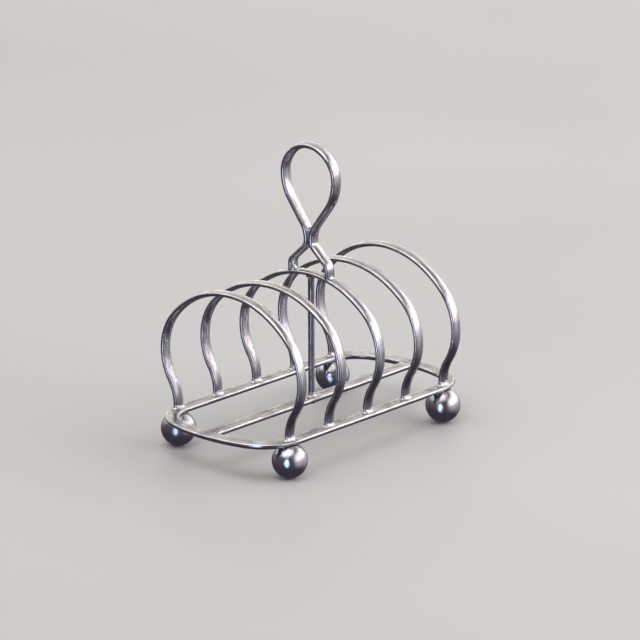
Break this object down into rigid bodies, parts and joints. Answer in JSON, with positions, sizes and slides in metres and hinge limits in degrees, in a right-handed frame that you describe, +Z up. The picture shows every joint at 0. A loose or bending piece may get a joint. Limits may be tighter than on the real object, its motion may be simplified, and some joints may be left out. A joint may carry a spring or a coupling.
{
  "type": "toast rack",
  "caption": "Footed wire toast rack: arched hoops hold slices upright on a flat wire frame, with a loop handle rising from the middle hoop.",
  "frame": {"origin": "on the table, at the middle of the four ball feet", "axes": "+X along the row of hoops, +Y across the rack, +Z up"},
  "size_m": [0.1338, 0.079, 0.1262],
  "materials": {
    "silver_wire": "polished silver plate on bent wire, lightly worn",
    "silver_ball": "polished silver plate on a turned ball, lightly scratched",
    "silver_solder": "plated solder, slightly duller"
  },
  "bodies": {
    "root": {"base_frame": "silver_wire", "centre_bar": "silver_wire", "hoop_1": "silver_wire", "hoop_2": "silver_wire", "hoop_3": "silver_wire", "hoop_4": "silver_wire", "hoop_5": "silver_wire", "centre_post": "silver_wire", "carrying_handle": "silver_wire", "ball_foot_front_left": "silver_ball", "ball_foot_front_right": "silver_ball", "ball_foot_rear_left": "silver_ball", "ball_foot_rear_right": "silver_ball", "solder_hoop_1": "silver_solder", "solder_hoop_2": "silver_solder", "solder_hoop_3": "silver_solder", "solder_hoop_4": "silver_solder", "solder_hoop_5": "silver_solder", "solder_post_base": "silver_solder", "solder_post_top": "silver_solder", "solder_handle_feet": "silver_solder", "solder_neck": "silver_solder", "solder_bar_ends": "silver_solder"}
  },
  "joints": []
}
